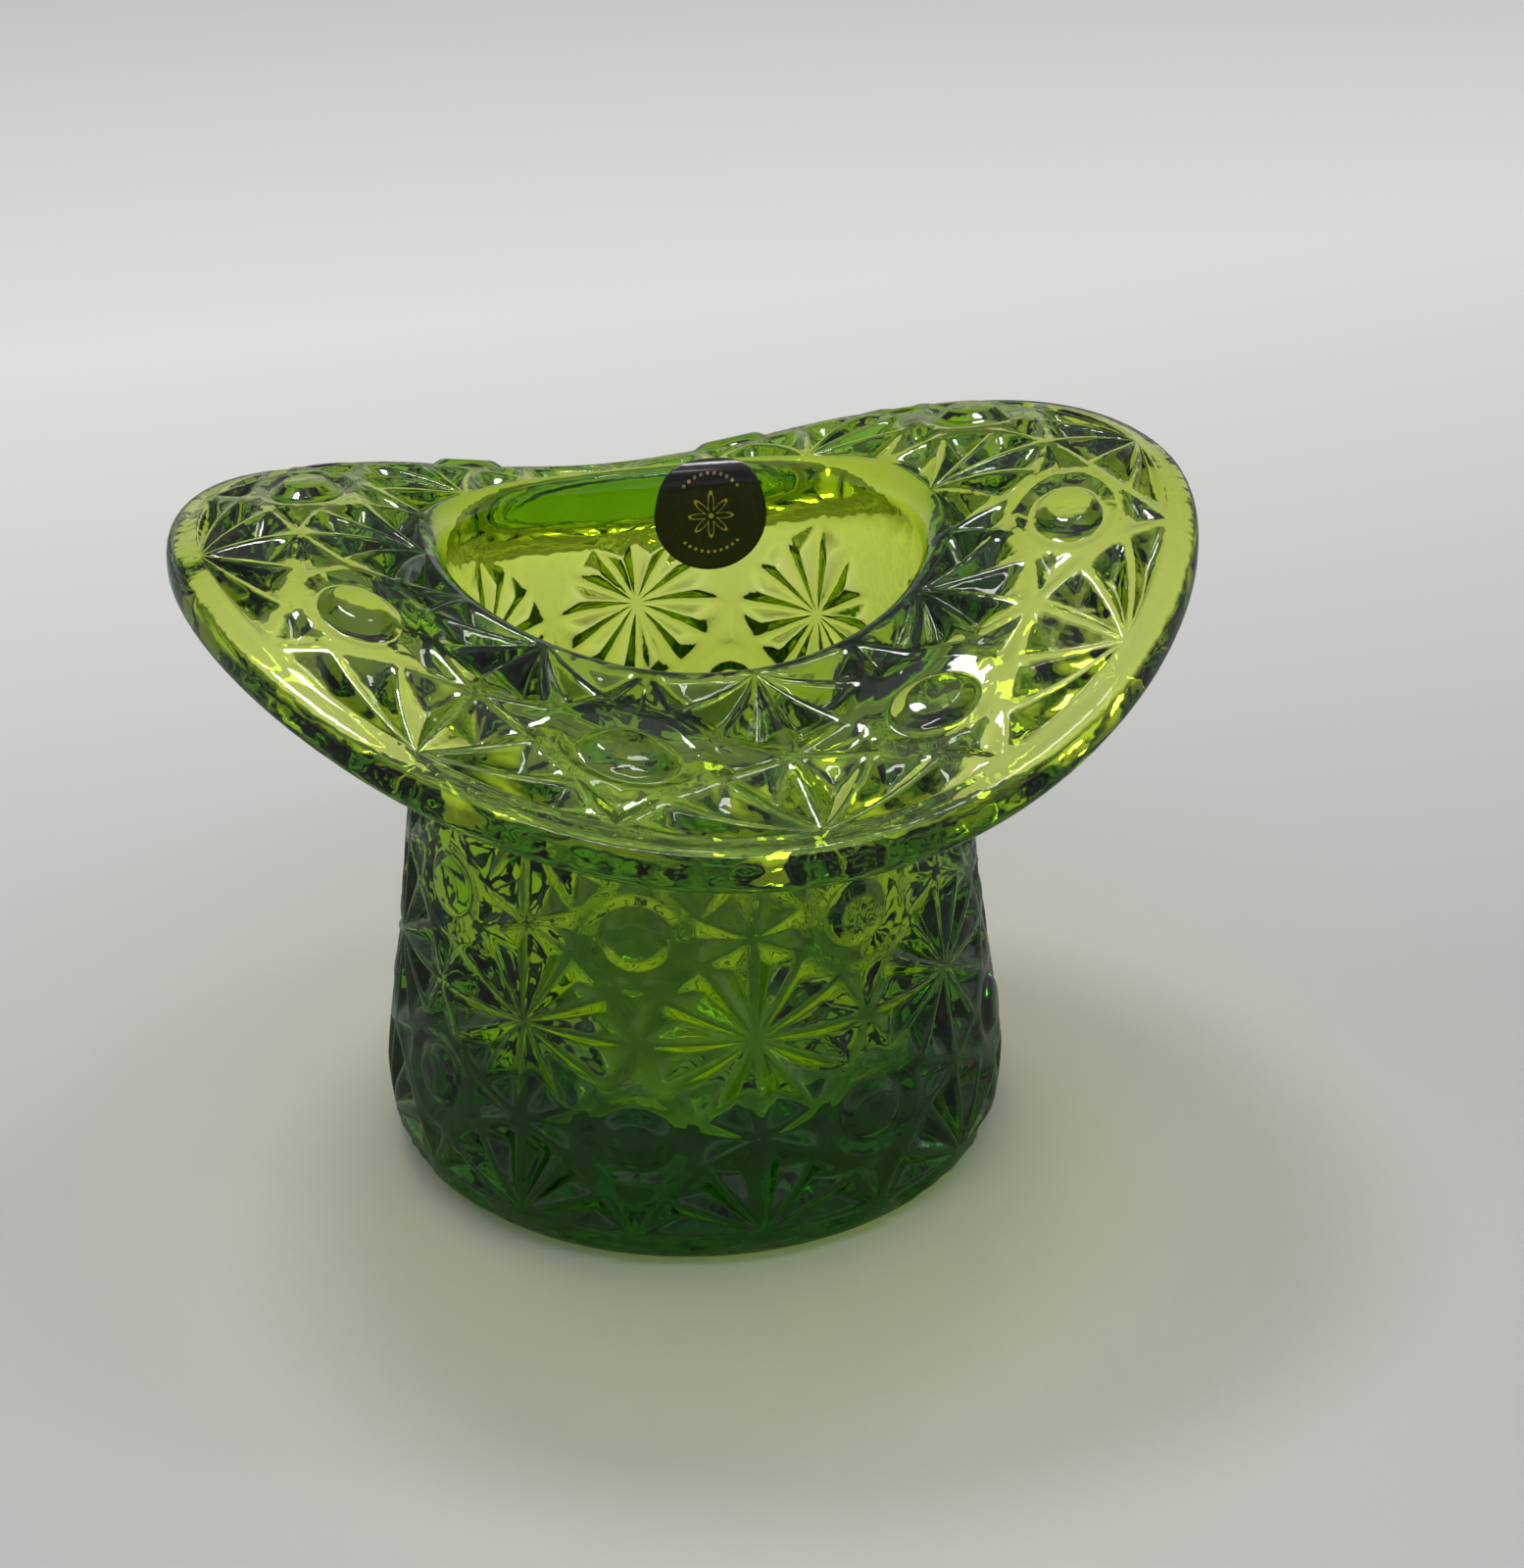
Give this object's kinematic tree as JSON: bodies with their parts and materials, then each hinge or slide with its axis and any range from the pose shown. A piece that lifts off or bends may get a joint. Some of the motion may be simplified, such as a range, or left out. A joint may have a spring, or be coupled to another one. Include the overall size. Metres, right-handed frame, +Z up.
{
  "type": "glass hat vase",
  "caption": "Pressed green glass hat that stands on its crown, with a star and button relief, a hollow for small things and a wavy brim, and a round foil label in the mouth.",
  "frame": {"origin": "middle of the flat base, on the table", "axes": "+Z up out of the mouth, +X and -X through the two raised sides of the brim, -Y to the front, where the brim droops"},
  "size_m": [0.089, 0.089, 0.0631],
  "materials": {
    "green_glass": "clear, fire-polished, tinted yellow-green",
    "label_foil": "glossy black foil"
  },
  "bodies": {
    "root": {"glass_body": "green_glass", "foil_label": "label_foil"}
  },
  "joints": []
}
